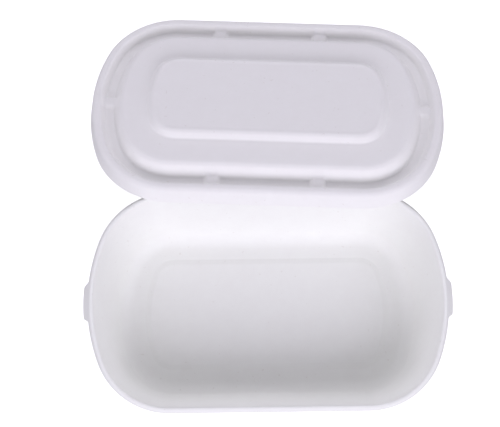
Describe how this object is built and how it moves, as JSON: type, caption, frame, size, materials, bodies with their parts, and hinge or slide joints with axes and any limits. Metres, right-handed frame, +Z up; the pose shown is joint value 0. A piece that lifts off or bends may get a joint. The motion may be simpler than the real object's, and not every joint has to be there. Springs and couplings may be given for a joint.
{
  "type": "food container with lid",
  "caption": "Oblong take-away food container of white pressed plant fibre: an open tray with a rolled lip and thumb tabs, and its loose lid leaning on the back rim.",
  "frame": {"origin": "centre of the tray's foot, on the table", "axes": "+X along the tray's width, +Y towards the back rim that the lid leans on, +Z up out of the tray"},
  "size_m": [0.2074, 0.242, 0.0545],
  "materials": {
    "tray_fibre": "matt pressed fibre",
    "lid_fibre": "matt pressed fibre"
  },
  "bodies": {
    "root": {"tray": "tray_fibre", "lid": "lid_fibre"}
  },
  "joints": []
}
